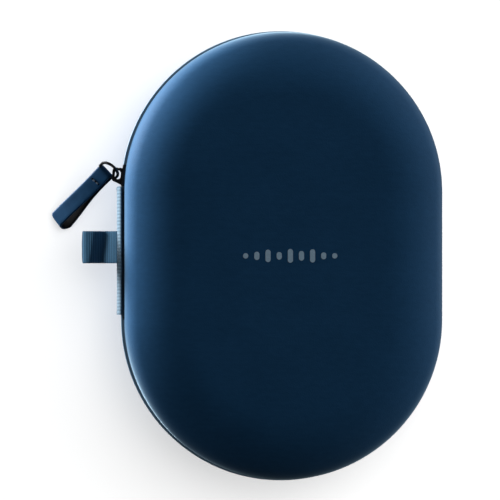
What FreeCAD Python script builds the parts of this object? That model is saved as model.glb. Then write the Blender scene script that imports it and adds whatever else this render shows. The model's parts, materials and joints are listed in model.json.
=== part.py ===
import FreeCAD
import Part
import Sketcher
import math
import os

from FreeCAD import Matrix, Placement, Rotation, Vector

# Headphone carrying case: a zipped clamshell of moulded foam, lying on its base.
# +Z is up, +Y runs along the case, and the hinge is on the -X side.
# The origin is at the centre of the base's flat underside. Lengths are in millimetres.

SIZES = [
    # the outline, a stadium shared by both halves
    ("end_radius", 75.0),
    ("straight_len", 60.0),
    # heights of the two halves and of the zipped gap between them
    ("base_depth", 25.0),
    ("zip_gap", 8.0),
    ("lid_rise", 2.0),
    # rounded sides: a tight arc at the lip, then a wide one
    ("shoulder_radius", 14.0),
    ("shoulder_turn", 50.0),
    ("lid_sweep_radius", 42.0),
    ("lid_sweep_turn", 37.0),
    ("base_sweep_radius", 30.0),
    ("base_sweep_turn", 40.0),
    # layers of each half, from the outside in
    ("cover_thick", 0.8),
    ("core_thick", 3.0),
    ("lining_thick", 0.6),
    # bindings on the lips
    ("binding_thick", 0.8),
    ("binding_width", 3.4),
    ("base_binding_proud", 0.5),
    # zip: two tapes with a coil behind each
    ("tape_radius", 74.6),
    ("tape_thick", 0.6),
    ("coil_gap", 0.84),
    ("coil_radius", 0.78),
    ("coil_clearance", 0.02),
    # metal stops at both ends of the zip
    ("stop_len", 1.4),
    ("stop_tall", 2.2),
    ("stop_inset", 0.8),
    ("stop_proud", 0.35),
    ("stop_behind", 0.3),
    ("stop_clearance", 0.05),
    # hinge tape, inner strip and the hinge's axis, which lies outside the wall
    ("hinge_tape_thick", 1.2),
    ("hinge_tape_proud", 1.8),
    ("hinge_tape_lap", 0.5),
    ("hinge_strip_thick", 0.6),
    ("hinge_strip_lap", 3.0),
    ("hinge_strip_rise", 1.7),
    ("hinge_strip_gap", 0.05),
    ("hinge_out", 3.4),
    # bar tacks sewn across the ends of the hinge tape
    ("tack_len", 1.2),
    ("tack_tall", 2.6),
    ("tack_thick", 0.35),
    ("tack_inset", 1.6),
    # carrying loop of folded webbing
    ("loop_width", 15.0),
    ("loop_reach", 17.6),
    ("loop_thick", 1.2),
    ("loop_fold", 1.9),
    ("loop_centre", 4.0),
    ("loop_neck", 4.0),
    ("loop_clearance", 0.15),
    ("loop_stitch_out", 1.6),
    ("loop_stitch_wide", 1.0),
    ("loop_stitch_thick", 0.24),
    ("loop_stitch_margin", 1.5),
    # zip slider
    ("slider_len", 10.0),
    ("slider_width", 5.6),
    ("plate_thick", 1.0),
    ("plate_gap", 3.2),
    ("post_thick", 0.4),
    ("slider_clearance", 0.1),
    ("slider_angle", 5.8),
    ("bridge_width", 2.0),
    ("bridge_reach", 4.7),
    ("bridge_len", 6.6),
    ("bridge_hole_len", 4.2),
    ("bridge_hole_wide", 2.9),
    ("bridge_hole_rim", 0.6),
    ("bridge_corner", 1.5),
    ("bridge_tail", 1.3),
    ("bridge_bite", 0.02),
    # pull ring of wire, a bow with a straight bar
    ("wire_radius", 0.55),
    ("ring_radius", 4.6),
    ("ring_arm", 3.3),
    ("ring_corner", 1.3),
    ("ring_slope", 62.0),
    ("ring_hold", 21.0),
    # pull strap, which leans from the ring's bar down to the table
    ("strap_heading", 229.5),
    ("strap_droop", 37.3),
    ("strap_width", 7.4),
    ("strap_len", 33.5),
    ("strap_thick", 1.1),
    ("strap_bar_hole", 0.8),
    ("strap_end_hole", 1.7),
    # where the strap is pinched flat, and where it opens again
    ("strap_neck", 6.5),
    ("strap_waist", 12.5),
    ("strap_split", 14.5),
    ("strap_stitch_at", 6.6),
    ("strap_stitch_wide", 0.7),
    ("strap_stitch_thick", 0.3),
    ("strap_stitch_margin", 0.8),
    # moulded island that the headband goes round, with a pocket for the lead
    ("island_radius", 21.0),
    ("island_half", 17.0),
    ("island_top", 22.0),
    ("island_wall", 4.0),
    ("island_floor", 8.0),
    ("island_rim_radius", 1.5),
    # mesh pocket in the lid
    ("pocket_mouth", -12.0),
    ("pocket_lift", 1.2),
    ("pocket_thick", 0.8),
    ("pocket_clearance", 0.1),
    ("elastic_width", 8.0),
    ("elastic_thick", 1.6),
    # generic mark on the lid, a row of sound-level bars
    ("mark_pitch", 5.2),
    ("mark_bar", 2.4),
    ("mark_tall", 6.4),
    ("mark_thick", 0.12),
]

doc = FreeCAD.newDocument("carrying_case")
sheet = doc.addObject("Spreadsheet::Sheet", "Sizes")
sub_parts = []


def fill_sheet():
    for row, (alias, value) in enumerate(SIZES, start=1):
        sheet.set("A%d" % row, alias)
        sheet.set("B%d" % row, str(value))
        sheet.setAlias("B%d" % row, alias)
    doc.recompute()


def size(alias):
    return float(sheet.get(alias))


# ---------------------------------------------------------------- shared shapes

def new_body(label):
    body = doc.addObject("PartDesign::Body", label)
    body.Label = label
    sub_parts.append(body)
    return body


def new_sketch(body, name, role, offset=0.0):
    """A sketch on one of the body's own origin planes, moved along that plane's normal."""
    plane = [f for f in body.Origin.OriginFeatures if f.Role == role][0]
    sketch = body.newObject("Sketcher::SketchObject", body.Label + "_" + name)
    sketch.AttachmentSupport = [(plane, "")]
    sketch.MapMode = "FlatFace"
    sketch.AttachmentOffset = Placement(Vector(0, 0, offset), Rotation())
    return sketch


def pad(body, sketch, expression, midplane=True):
    feature = body.newObject("PartDesign::Pad", sketch.Name + "_pad")
    feature.Profile = sketch
    feature.Midplane = midplane
    feature.setExpression("Length", expression)
    return feature


def circle(sketch, x, y, radius_expression, radius):
    """A circle whose radius follows the sheet."""
    index = sketch.addGeometry(Part.Circle(Vector(x, y, 0), Vector(0, 0, 1), radius))
    datum = sketch.addConstraint(Sketcher.Constraint("Radius", index, radius))
    sketch.setExpression("Constraints[%d]" % datum, radius_expression)


def closed_outline(sketch, pieces):
    """Adds lines and arcs that follow each other, each end tied to the next start."""
    first = sketch.GeometryCount
    for piece in pieces:
        sketch.addGeometry(piece)
    count = len(pieces)
    for step in range(count):
        following = first + (step + 1) % count
        sketch.addConstraint(Sketcher.Constraint("Coincident", first + step, 2, following, 1))


def arc_by_turn(centre, radius, start_deg, end_deg):
    """Three points in the drawing plane that fix an arc: its start, middle and end."""
    points = []
    for share in (0.0, 0.5, 1.0):
        angle = math.radians(start_deg + (end_deg - start_deg) * share)
        points.append(centre + Vector(math.cos(angle), math.sin(angle), 0) * radius)
    return points


def polyline(points):
    """Straight lines round a closed row of points, given as (x, y)."""
    corners = [Vector(x, y, 0) for x, y in points]
    return [Part.LineSegment(a, b) for a, b in zip(corners, corners[1:] + corners[:1])]


def rectangle(low_x, low_y, high_x, high_y):
    return polyline([(low_x, low_y), (high_x, low_y), (high_x, high_y), (low_x, high_y)])


def stadium(sketch, centre, radius, half):
    """A stadium outline: two half circles joined by straight sides along Y."""
    far = centre + Vector(0, half, 0)
    near = centre - Vector(0, half, 0)
    side = Vector(radius, 0, 0)
    closed_outline(sketch, [
        Part.Arc(*arc_by_turn(far, radius, 0, 180)),
        Part.LineSegment(far - side, near - side),
        Part.Arc(*arc_by_turn(near, radius, 180, 360)),
        Part.LineSegment(near + side, far + side),
    ])


# A side profile is a list of point rows in the (radius, height) plane:
# two points are a line, three are an arc through the middle one.

def side_profile(inset, lip_height, up, rise, arcs, crowned):
    """The side of one half, from its lip to the case's centre line, moved in by inset."""
    radius = size("end_radius") - inset
    lip = Vector(radius, lip_height, 0)
    point = lip + Vector(0, up * rise, 0)
    rows = [[lip, point]]
    turned = 0.0
    for arc_radius, turn in arcs:
        centre = point - Vector(math.cos(math.radians(turned)),
                                up * math.sin(math.radians(turned)), 0) * (arc_radius - inset)
        rows.append(arc_by_turn(centre, arc_radius - inset, up * turned, up * (turned + turn)))
        point = rows[-1][-1]
        turned += turn
    if crowned:
        crown_radius = point.x / math.cos(math.radians(turned))
        centre = Vector(0, point.y - up * crown_radius * math.sin(math.radians(turned)), 0)
        rows.append(arc_by_turn(centre, crown_radius, up * turned, up * 90.0))
    else:
        rows.append([point, Vector(0, point.y, 0)])
    return rows


def lid_profile(inset):
    arcs = [(size("shoulder_radius"), size("shoulder_turn")),
            (size("lid_sweep_radius"), size("lid_sweep_turn"))]
    return side_profile(inset, lid_lip(), 1, size("lid_rise"), arcs, True)


def base_profile(inset):
    arcs = [(size("shoulder_radius"), size("shoulder_turn")),
            (size("base_sweep_radius"), size("base_sweep_turn"))]
    rounded = 0.0
    turned = 0.0
    for arc_radius, turn in arcs:
        after = turned + turn
        rounded += arc_radius * (math.sin(math.radians(after)) - math.sin(math.radians(turned)))
        turned = after
    return side_profile(inset, size("base_depth"), -1, size("base_depth") - rounded, arcs, False)


def lid_lip():
    return size("base_depth") + size("zip_gap")


def split_height():
    return size("base_depth") + size("zip_gap") / 2


def layers_thick():
    return size("cover_thick") + size("core_thick") + size("lining_thick")


def layer_outline(outer_rows, inner_rows):
    """The closed outline of the layer between two side profiles."""
    back = [list(reversed(row)) for row in reversed(inner_rows)]
    rows = list(outer_rows)
    rows.append([outer_rows[-1][-1], back[0][0]])
    rows.extend(back)
    rows.append([back[-1][-1], outer_rows[0][0]])
    return rows


def rows_to_edges(rows, side):
    """Sketch edges for a row list, mirrored to the -X side where side is -1."""
    edges = []
    for row in rows:
        points = [Vector(p.x * side, p.y, 0) for p in row]
        if len(points) == 2:
            edges.append(Part.LineSegment(points[0], points[1]))
        else:
            edges.append(Part.Arc(points[0], points[1], points[2]))
    return edges


def add_rows(sketch, rows, side):
    """Draws a row list in a sketch on the side that is asked for."""
    for edge in rows_to_edges(rows, side):
        sketch.addGeometry(edge)


def box_rows(low_radius, low_height, high_radius, high_height):
    corners = [Vector(low_radius, low_height, 0), Vector(high_radius, low_height, 0),
               Vector(high_radius, high_height, 0), Vector(low_radius, high_height, 0)]
    return [[a, b] for a, b in zip(corners, corners[1:] + corners[:1])]


def run_round(body, rows, left=True, right=True, ends=True):
    """Runs an outline round the case: straight along the sides, turned round the two ends."""
    if right:
        sketch = new_sketch(body, "right", "XZ_Plane")
        add_rows(sketch, rows, 1)
        pad(body, sketch, "Sizes.straight_len")
    if ends:
        for name, sign in (("far", 1), ("near", -1)):
            sketch = new_sketch(body, name, "XZ_Plane", -sign * size("straight_len") / 2)
            sketch.setExpression("AttachmentOffset.Base.z", "%d * Sizes.straight_len / 2" % -sign)
            add_rows(sketch, rows, 1)
            turn = body.newObject("PartDesign::Revolution", sketch.Name + "_turn")
            turn.Profile = sketch
            turn.ReferenceAxis = (sketch, ["V_Axis"])
            turn.Angle = 180.0
            turn.Reversed = sign < 0
    if left:
        sketch = new_sketch(body, "left", "XZ_Plane")
        add_rows(sketch, rows, -1)
        pad(body, sketch, "Sizes.straight_len")


# ---------------------------------------------------------------- shells

def make_layer(label, profile, outer, inner):
    body = new_body(label)
    run_round(body, layer_outline(profile(outer), profile(inner)))
    return body


def make_shells():
    """Cover, foam core and lining of each half, nested with no gap."""
    cover = size("cover_thick")
    core = cover + size("core_thick")
    lining = core + size("lining_thick")
    for half, profile in (("base", base_profile), ("lid", lid_profile)):
        make_layer(half + "_cover", profile, 0.0, cover)
        make_layer(half + "_core", profile, cover, core)
        make_layer(half + "_lining", profile, core, lining)


def make_bindings():
    """Flat bindings that close the edge of each half's layers."""
    radius = size("end_radius")
    thick = size("binding_thick")
    inner = radius - size("binding_width")
    low = size("base_depth")
    high = lid_lip()
    run_round(new_body("base_lip_binding"),
              box_rows(inner, low, radius + size("base_binding_proud"), low + thick))
    run_round(new_body("lid_lip_binding"), box_rows(inner, high - thick, radius, high))


# ---------------------------------------------------------------- zip

def make_zip():
    """Two tapes and two coils, round both ends and down the side away from the hinge."""
    outer = size("tape_radius")
    inner = outer - size("tape_thick")
    thick = size("binding_thick")
    half_gap = size("coil_gap") / 2
    middle = split_height()
    low = size("base_depth") + thick
    high = lid_lip() - thick
    run_round(new_body("zip_tape_base"), box_rows(inner, low, outer, middle - half_gap), left=False)
    run_round(new_body("zip_tape_lid"), box_rows(inner, middle + half_gap, outer, high), left=False)
    for label, sign in (("zip_coil_base", -1), ("zip_coil_lid", 1)):
        radius = size("coil_radius")
        centre = Vector(inner - radius - size("coil_clearance"),
                        middle + sign * (half_gap + radius), 0)
        halves = [arc_by_turn(centre, radius, 0, 180), arc_by_turn(centre, radius, 180, 360)]
        run_round(new_body(label), halves, left=False)


def make_zip_stops():
    """Stops that end the zip's chain at each end of the hinge, on the base's tape."""
    body = new_body("zip_end_stops")
    body.AllowCompound = True
    outer = size("tape_radius") + size("stop_proud")
    chain = size("tape_thick") + 2 * size("coil_radius")
    inner = size("tape_radius") - chain - size("stop_behind")
    top = split_height() - size("coil_gap") / 2 - size("stop_clearance")
    place = size("straight_len") / 2 - size("stop_inset")
    for name, sign in (("far", 1), ("near", -1)):
        sketch = new_sketch(body, name, "XZ_Plane", -sign * place)
        closed_outline(sketch, rectangle(-outer, top - size("stop_tall"), -inner, top))
        pad(body, sketch, "Sizes.stop_len")


# ---------------------------------------------------------------- hinge

def hinge_x():
    return -(size("end_radius") + size("hinge_out"))


def make_hinge():
    """Woven tape outside and a lining strip inside, which together are the hinge."""
    radius = size("end_radius")
    outer = radius + size("hinge_tape_proud")
    low = size("base_depth") + size("binding_thick")
    high = lid_lip() - size("binding_thick")
    lap = size("hinge_tape_lap")
    tape = new_body("hinge_tape")
    run_round(tape, box_rows(outer - size("hinge_tape_thick"), low - lap, outer, high + lap),
              right=False, ends=False)
    strip = new_body("hinge_inner_strip")
    face = radius - layers_thick() - size("hinge_strip_gap")
    strip_low = size("base_depth") - size("hinge_strip_lap")
    strip_high = lid_lip() + size("hinge_strip_rise")
    run_round(strip, box_rows(face - size("hinge_strip_thick"), strip_low, face, strip_high),
              right=False, ends=False)
    make_hinge_tacks()


def make_hinge_tacks():
    """Bar tacks at the ends of the hinge tape, sewn to the base's half of it."""
    body = new_body("hinge_bar_tacks")
    body.AllowCompound = True
    face = size("end_radius") + size("hinge_tape_proud")
    low = size("base_depth") + size("binding_thick")
    place = size("straight_len") / 2 - size("tack_inset")
    for name, sign in (("far", 1), ("near", -1)):
        sketch = new_sketch(body, name, "XZ_Plane", -sign * place)
        outer = -face - size("tack_thick")
        closed_outline(sketch, rectangle(outer, low, -face, low + size("tack_tall")))
        pad(body, sketch, "Sizes.tack_len")


def make_loop():
    """A strip of webbing folded in two, whose ends are sewn to the middle of the hinge tape."""
    body = new_body("webbing_loop")
    middle = split_height()
    root = -(size("end_radius") + size("hinge_tape_proud") + size("loop_clearance"))
    fold = size("loop_fold")
    thick = size("loop_thick")
    tip = root - size("loop_reach") + fold
    neck = root - size("loop_neck")
    sketch = new_sketch(body, "side", "XZ_Plane", -size("loop_centre"))
    sketch.setExpression("AttachmentOffset.Base.z", "-Sizes.loop_centre")
    slant = math.degrees(math.asin((fold - thick) / (neck - tip)))
    fold_centre = Vector(tip, middle, 0)
    outer = arc_by_turn(fold_centre, fold, 90 + slant, 270 - slant)
    inner = arc_by_turn(fold_centre, fold - thick, 90 + slant, 270 - slant)
    closed_outline(sketch, [
        Part.LineSegment(Vector(root, middle + thick, 0), Vector(neck, middle + thick, 0)),
        Part.LineSegment(Vector(neck, middle + thick, 0), outer[0]),
        Part.Arc(*outer),
        Part.LineSegment(outer[2], Vector(neck, middle - thick, 0)),
        Part.LineSegment(Vector(neck, middle - thick, 0), Vector(root, middle - thick, 0)),
        Part.LineSegment(Vector(root, middle - thick, 0), Vector(root, middle + thick, 0)),
    ])
    closed_outline(sketch, [
        Part.LineSegment(Vector(neck, middle, 0), inner[0]),
        Part.Arc(*inner),
        Part.LineSegment(inner[2], Vector(neck, middle, 0)),
    ])
    pad(body, sketch, "Sizes.loop_width")
    make_loop_stitches(root, middle, thick)


def make_loop_stitches(root, middle, thick):
    """A row of thread across the loop beside its root, on both faces."""
    body = new_body("loop_stitches")
    body.AllowCompound = True
    high_x = root - size("loop_stitch_out")
    low_x = high_x - size("loop_stitch_wide")
    half = size("loop_stitch_thick") / 2
    for name, sign in (("top", 1), ("under", -1)):
        height = middle + sign * (thick + half)
        sketch = new_sketch(body, name, "XZ_Plane", -size("loop_centre"))
        closed_outline(sketch, rectangle(low_x, height - half, high_x, height + half))
        pad(body, sketch, "Sizes.loop_width - 2 * Sizes.loop_stitch_margin")


# ---------------------------------------------------------------- slider and pull

def slider_placement():
    """Turns a piece from the straight side's end round to where the slider is parked."""
    centre = Vector(0, size("straight_len") / 2, 0)
    return Placement(Vector(0, 0, 0), Rotation(Vector(0, 0, 1), -size("slider_angle")), centre)


def make_slider():
    """Two plates joined by a thin post between the coils, curved to the track."""
    body = new_body("slider_body")
    middle = split_height()
    outer = size("end_radius") + size("slider_clearance")
    post = size("post_thick") / 2
    wide = size("slider_width") / 2
    face = outer + size("plate_thick")
    inner = outer - size("plate_gap")
    back = inner - size("plate_thick")
    corners = [(-face, middle - wide), (-face, middle + wide), (-outer, middle + wide),
               (-outer, middle + post), (-inner, middle + post), (-inner, middle + wide),
               (-back, middle + wide), (-back, middle - wide), (-inner, middle - wide),
               (-inner, middle - post), (-outer, middle - post), (-outer, middle - wide)]
    sketch = new_sketch(body, "section", "XZ_Plane", -size("straight_len") / 2)
    closed_outline(sketch, polyline(corners))
    turn = body.newObject("PartDesign::Revolution", "slider_turn")
    turn.Profile = sketch
    turn.ReferenceAxis = (sketch, ["V_Axis"])
    turn.Midplane = True
    turn.setExpression("Angle", "Sizes.slider_len / Sizes.end_radius * 180 / pi")
    body.Placement = slider_placement()
    make_bridge(face, middle)


def make_bridge(face, middle):
    """An arch on the slider's outer plate, with a slot for the ring and a tapered tail."""
    body = new_body("slider_bridge")
    centre_y = size("straight_len") / 2
    top = -(face + size("bridge_reach"))
    foot = -face + size("bridge_bite")
    half = size("bridge_len") / 2
    corner = size("bridge_corner")
    far_corner = Vector(top + corner, centre_y + half - corner, 0)
    near_corner = Vector(top + corner, centre_y - half + corner, 0)
    far_arc = arc_by_turn(far_corner, corner, 90, 180)
    near_arc = arc_by_turn(near_corner, corner, 180, 270)
    far_foot = Vector(foot, centre_y + half, 0)
    near_foot = Vector(foot, centre_y - half - size("bridge_tail"), 0)
    sketch = new_sketch(body, "arch", "XY_Plane", middle)
    closed_outline(sketch, [
        Part.LineSegment(far_foot, far_arc[0]),
        Part.Arc(*far_arc),
        Part.LineSegment(far_arc[2], near_arc[0]),
        Part.Arc(*near_arc),
        Part.LineSegment(near_arc[2], near_foot),
        Part.LineSegment(near_foot, far_foot),
    ])
    slot_radius = size("bridge_hole_wide") / 2
    slot = Vector(-bridge_hole_out(), centre_y, 0)
    stadium(sketch, slot, slot_radius, size("bridge_hole_len") / 2 - slot_radius)
    pad(body, sketch, "Sizes.bridge_width")
    body.Placement = slider_placement()


def bridge_hole_out():
    """How far the middle of the bridge's slot is from the end's centre."""
    face = size("end_radius") + size("slider_clearance") + size("plate_thick")
    return face + size("bridge_hole_rim") + size("bridge_hole_wide") / 2


def bridge_hole():
    """The middle of the bridge's slot, where the ring hangs."""
    hole = Vector(-bridge_hole_out(), size("straight_len") / 2, split_height())
    return slider_placement().multVec(hole)


def pull_axes():
    """Unit vectors of the pull: along the ring's bar, up the ring's plane, down the strap."""
    heading = math.radians(size("strap_heading"))
    out = Vector(math.cos(heading), math.sin(heading), 0)
    bar = Vector(-math.sin(heading), math.cos(heading), 0)
    slope = math.radians(size("ring_slope"))
    rise = Vector(-out.x * math.cos(slope), -out.y * math.cos(slope), math.sin(slope))
    droop = math.radians(size("strap_droop"))
    strap = Vector(out.x * math.cos(droop), out.y * math.cos(droop), -math.sin(droop))
    return bar, rise, strap


def frame_placement(origin, x_axis, y_axis):
    z_axis = x_axis.cross(y_axis)
    matrix = Matrix(x_axis.x, y_axis.x, z_axis.x, origin.x,
                    x_axis.y, y_axis.y, z_axis.y, origin.y,
                    x_axis.z, y_axis.z, z_axis.z, origin.z,
                    0, 0, 0, 1)
    return Placement(matrix)


def bar_middle():
    """The middle of the ring's bar, worked back from the point held in the bridge."""
    bar, rise, _ = pull_axes()
    hold = math.radians(size("ring_hold"))
    along = size("ring_radius") * math.cos(hold)
    up = size("ring_arm") + size("ring_radius") * math.sin(hold)
    return bridge_hole() - bar * along - rise * up


def make_ring():
    """A bow of round wire: a straight bar, two arms and a half circle."""
    body = new_body("pull_ring")
    radius = size("ring_radius")
    arm = size("ring_arm")
    corner = size("ring_corner")
    path = new_sketch(body, "path", "XY_Plane")
    right = Vector(radius - corner, corner, 0)
    left = Vector(corner - radius, corner, 0)
    closed_outline(path, [
        Part.LineSegment(Vector(corner - radius, 0, 0), Vector(radius - corner, 0, 0)),
        Part.Arc(*arc_by_turn(right, corner, -90, 0)),
        Part.LineSegment(Vector(radius, corner, 0), Vector(radius, arm, 0)),
        Part.Arc(*arc_by_turn(Vector(0, arm, 0), radius, 0, 180)),
        Part.LineSegment(Vector(-radius, arm, 0), Vector(-radius, corner, 0)),
        Part.Arc(*arc_by_turn(left, corner, 180, 270)),
    ])
    wire = new_sketch(body, "wire", "YZ_Plane", corner - radius)
    circle(wire, 0, 0, "Sizes.wire_radius", size("wire_radius"))
    pipe = body.newObject("PartDesign::AdditivePipe", "ring_pipe")
    pipe.Profile = wire
    pipe.Spine = (path, ["Edge%d" % number for number in range(1, 7)])
    bar, rise, _ = pull_axes()
    body.Placement = frame_placement(bar_middle(), bar, rise)


def make_strap():
    """Leather folded into a flat loop: round the bar at one end, open at the far end."""
    body = new_body("pull_strap")
    bar, _, strap = pull_axes()
    thick = size("strap_thick")
    bar_hole = size("strap_bar_hole")
    end_hole = size("strap_end_hole")
    length = size("strap_len")
    head = bar_hole + thick
    tail = end_hole + thick
    neck = size("strap_neck")
    waist = size("strap_waist")
    sketch = new_sketch(body, "side", "XY_Plane")
    end = Vector(length, 0, 0)
    closed_outline(sketch, [
        Part.Arc(*arc_by_turn(Vector(0, 0, 0), head, 90, 270)),
        Part.LineSegment(Vector(0, -head, 0), Vector(neck, -thick, 0)),
        Part.LineSegment(Vector(neck, -thick, 0), Vector(waist, -thick, 0)),
        Part.LineSegment(Vector(waist, -thick, 0), Vector(length, -tail, 0)),
        Part.Arc(*arc_by_turn(end, tail, -90, 90)),
        Part.LineSegment(Vector(length, tail, 0), Vector(waist, thick, 0)),
        Part.LineSegment(Vector(waist, thick, 0), Vector(neck, thick, 0)),
        Part.LineSegment(Vector(neck, thick, 0), Vector(0, head, 0)),
    ])
    circle(sketch, 0, 0, "Sizes.strap_bar_hole", bar_hole)
    point = Vector(size("strap_split"), 0, 0)
    closed_outline(sketch, [
        Part.LineSegment(point, Vector(length, -end_hole, 0)),
        Part.Arc(*arc_by_turn(end, end_hole, -90, 90)),
        Part.LineSegment(Vector(length, end_hole, 0), point),
    ])
    pad(body, sketch, "Sizes.strap_width")
    body.Placement = frame_placement(bar_middle(), strap, bar.cross(strap))
    make_strap_stitches(thick)


def make_strap_stitches(thick):
    """A row of thread across the strap, on both faces."""
    bar, _, strap = pull_axes()
    body = new_body("strap_stitches")
    body.AllowCompound = True
    sketch = new_sketch(body, "row", "XY_Plane")
    start = size("strap_stitch_at")
    end = start + size("strap_stitch_wide")
    half = size("strap_stitch_thick") / 2
    for side in (1, -1):
        height = side * (thick + half)
        closed_outline(sketch, rectangle(start, height - half, end, height + half))
    pad(body, sketch, "Sizes.strap_width - 2 * Sizes.strap_stitch_margin")
    body.Placement = frame_placement(bar_middle(), strap, bar.cross(strap))


# ---------------------------------------------------------------- inside

def make_island():
    """A moulded block in the middle of the base, hollow for the lead."""
    body = new_body("cable_island")
    radius = size("island_radius")
    half = size("island_half")
    middle = Vector(0, 0, 0)
    block = new_sketch(body, "block", "XY_Plane", layers_thick())
    stadium(block, middle, radius, half)
    height = "Sizes.island_top - Sizes.cover_thick - Sizes.core_thick - Sizes.lining_thick"
    pad(body, block, height, midplane=False)
    hollow = new_sketch(body, "hollow", "XY_Plane", size("island_floor"))
    stadium(hollow, middle, radius - size("island_wall"), half)
    cut = body.newObject("PartDesign::Pocket", "island_hollow")
    cut.Profile = hollow
    cut.Reversed = True
    cut.setExpression("Length", "Sizes.island_top - Sizes.island_floor + 1")
    doc.recompute()
    rims = edges_at_height(cut.Shape, size("island_top"))
    rounding = body.newObject("PartDesign::Fillet", "island_rim")
    rounding.Base = (cut, rims)
    rounding.setExpression("Radius", "Sizes.island_rim_radius")


def edges_at_height(shape, height):
    names = []
    for number, edge in enumerate(shape.Edges, start=1):
        box = edge.BoundBox
        if abs(box.ZMin - height) < 0.01 and abs(box.ZMax - height) < 0.01:
            names.append("Edge%d" % number)
    return names


def make_pocket():
    """A mesh panel across one end of the lid, with an elastic band along its open edge."""
    clear = size("hinge_strip_thick") + size("pocket_clearance")
    radius = size("end_radius") - layers_thick() - clear
    low = lid_lip() + size("pocket_lift")
    mouth = size("pocket_mouth")
    near = -size("straight_len") / 2
    thick = size("pocket_thick")
    panel = new_body("lid_pocket_mesh")
    sketch = new_sketch(panel, "panel", "XY_Plane", low)
    closed_outline(sketch, [
        Part.LineSegment(Vector(radius, mouth, 0), Vector(-radius, mouth, 0)),
        Part.LineSegment(Vector(-radius, mouth, 0), Vector(-radius, near, 0)),
        Part.Arc(*arc_by_turn(Vector(0, near, 0), radius, 180, 360)),
        Part.LineSegment(Vector(radius, near, 0), Vector(radius, mouth, 0)),
    ])
    pad(panel, sketch, "Sizes.pocket_thick", midplane=False)
    band = new_body("pocket_elastic")
    strip = new_sketch(band, "band", "XY_Plane", low + thick / 2)
    closed_outline(strip, rectangle(-radius, mouth, radius, mouth + size("elastic_width")))
    pad(band, strip, "Sizes.elastic_thick")


def make_mark():
    """A row of round-ended bars of different heights, a film on the lid's crown."""
    bar_heights = (0.35, 0.6, 0.9, 0.55, 1.0, 0.7, 0.95, 0.5, 0.3)
    crown_clearance = 40.0
    shortest = 0.05
    pitch = size("mark_pitch")
    half_bar = size("mark_bar") / 2
    first_x = -pitch * (len(bar_heights) - 1) / 2
    bars = []
    for step, share in enumerate(bar_heights):
        half_tall = max(size("mark_tall") * share / 2 - half_bar, shortest)
        centre = Vector(first_x + pitch * step, 0, lid_lip())
        points = arc_by_turn(Vector(0, half_tall, 0), half_bar, 0, 180)
        points += arc_by_turn(Vector(0, -half_tall, 0), half_bar, 180, 360)
        edges = [Part.Arc(*points[:3]).toShape(), Part.LineSegment(points[2], points[3]).toShape(),
                 Part.Arc(*points[3:]).toShape(), Part.LineSegment(points[5], points[0]).toShape()]
        outline = Part.Wire(edges)
        outline.translate(centre)
        bars.append(Part.Face(outline).extrude(Vector(0, 0, crown_clearance)))
    film = make_layer("lid_mark_film", lid_profile, -size("mark_thick"), 0.0)
    sub_parts.remove(film)
    doc.recompute()
    mark = doc.addObject("Part::Feature", "lid_mark")
    mark.Label = "lid_mark"
    mark.Shape = Part.makeCompound([bar.common(film.Shape).Solids[0] for bar in bars])
    sub_parts.append(mark)


# ---------------------------------------------------------------- build and write

def check_document():
    for item in doc.Objects:
        bad = [word for word in item.State if word in ("Invalid", "Error")]
        if bad:
            raise SystemExit("%s is %s: %s" % (item.Label, bad, item.getStatusString()))
    for item in sub_parts:
        if item.Shape.isNull() or not item.Shape.isValid():
            raise SystemExit("%s has no valid shape" % item.Label)


def write_parts():
    os.makedirs("parts", exist_ok=True)
    for item in sub_parts:
        item.Shape.exportStep("parts/%s.step" % item.Label)
        box = item.Shape.BoundBox
        print("%-20s %2d solid %9.1f mm3  x %.2f %.2f  y %.2f %.2f  z %.2f %.2f" % (
            item.Label, len(item.Shape.Solids), item.Shape.Volume,
            box.XMin, box.XMax, box.YMin, box.YMax, box.ZMin, box.ZMax))


fill_sheet()
make_shells()
make_bindings()
make_zip()
make_zip_stops()
make_hinge()
make_loop()
make_slider()
make_ring()
make_strap()
make_island()
make_pocket()
make_mark()
doc.recompute()
check_document()
write_parts()
print("hinge axis: x %.3f, z %.3f" % (hinge_x(), split_height()))
print("ring pivot:", bridge_hole())
print("strap pivot:", bar_middle())
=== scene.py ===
import json
import math

import bmesh
import bpy
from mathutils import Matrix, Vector, noise


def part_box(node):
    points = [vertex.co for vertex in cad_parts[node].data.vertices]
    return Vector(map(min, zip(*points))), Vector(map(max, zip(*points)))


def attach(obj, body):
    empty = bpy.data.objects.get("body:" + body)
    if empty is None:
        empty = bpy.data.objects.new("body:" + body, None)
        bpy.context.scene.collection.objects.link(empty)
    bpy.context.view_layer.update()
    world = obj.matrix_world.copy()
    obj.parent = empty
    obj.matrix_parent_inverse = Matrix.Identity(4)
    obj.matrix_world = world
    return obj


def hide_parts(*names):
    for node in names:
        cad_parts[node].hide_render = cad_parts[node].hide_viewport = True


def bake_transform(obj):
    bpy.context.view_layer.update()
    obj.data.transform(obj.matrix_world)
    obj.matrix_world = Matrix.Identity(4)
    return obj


# Looks of a zipped headphone case that lies on its base, in metres.
# Every piece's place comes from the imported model's boxes and joints.

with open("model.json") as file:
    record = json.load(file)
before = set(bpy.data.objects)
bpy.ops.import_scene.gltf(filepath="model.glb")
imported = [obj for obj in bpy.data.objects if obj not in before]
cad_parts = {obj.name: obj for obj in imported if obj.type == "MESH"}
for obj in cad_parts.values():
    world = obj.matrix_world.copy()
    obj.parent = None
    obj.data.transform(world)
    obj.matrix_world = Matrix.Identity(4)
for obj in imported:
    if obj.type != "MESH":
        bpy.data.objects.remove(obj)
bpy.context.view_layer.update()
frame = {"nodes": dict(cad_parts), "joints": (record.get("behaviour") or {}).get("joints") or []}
MM = 0.001

# ------------------------------------------------------------ sizes from the frame

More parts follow.
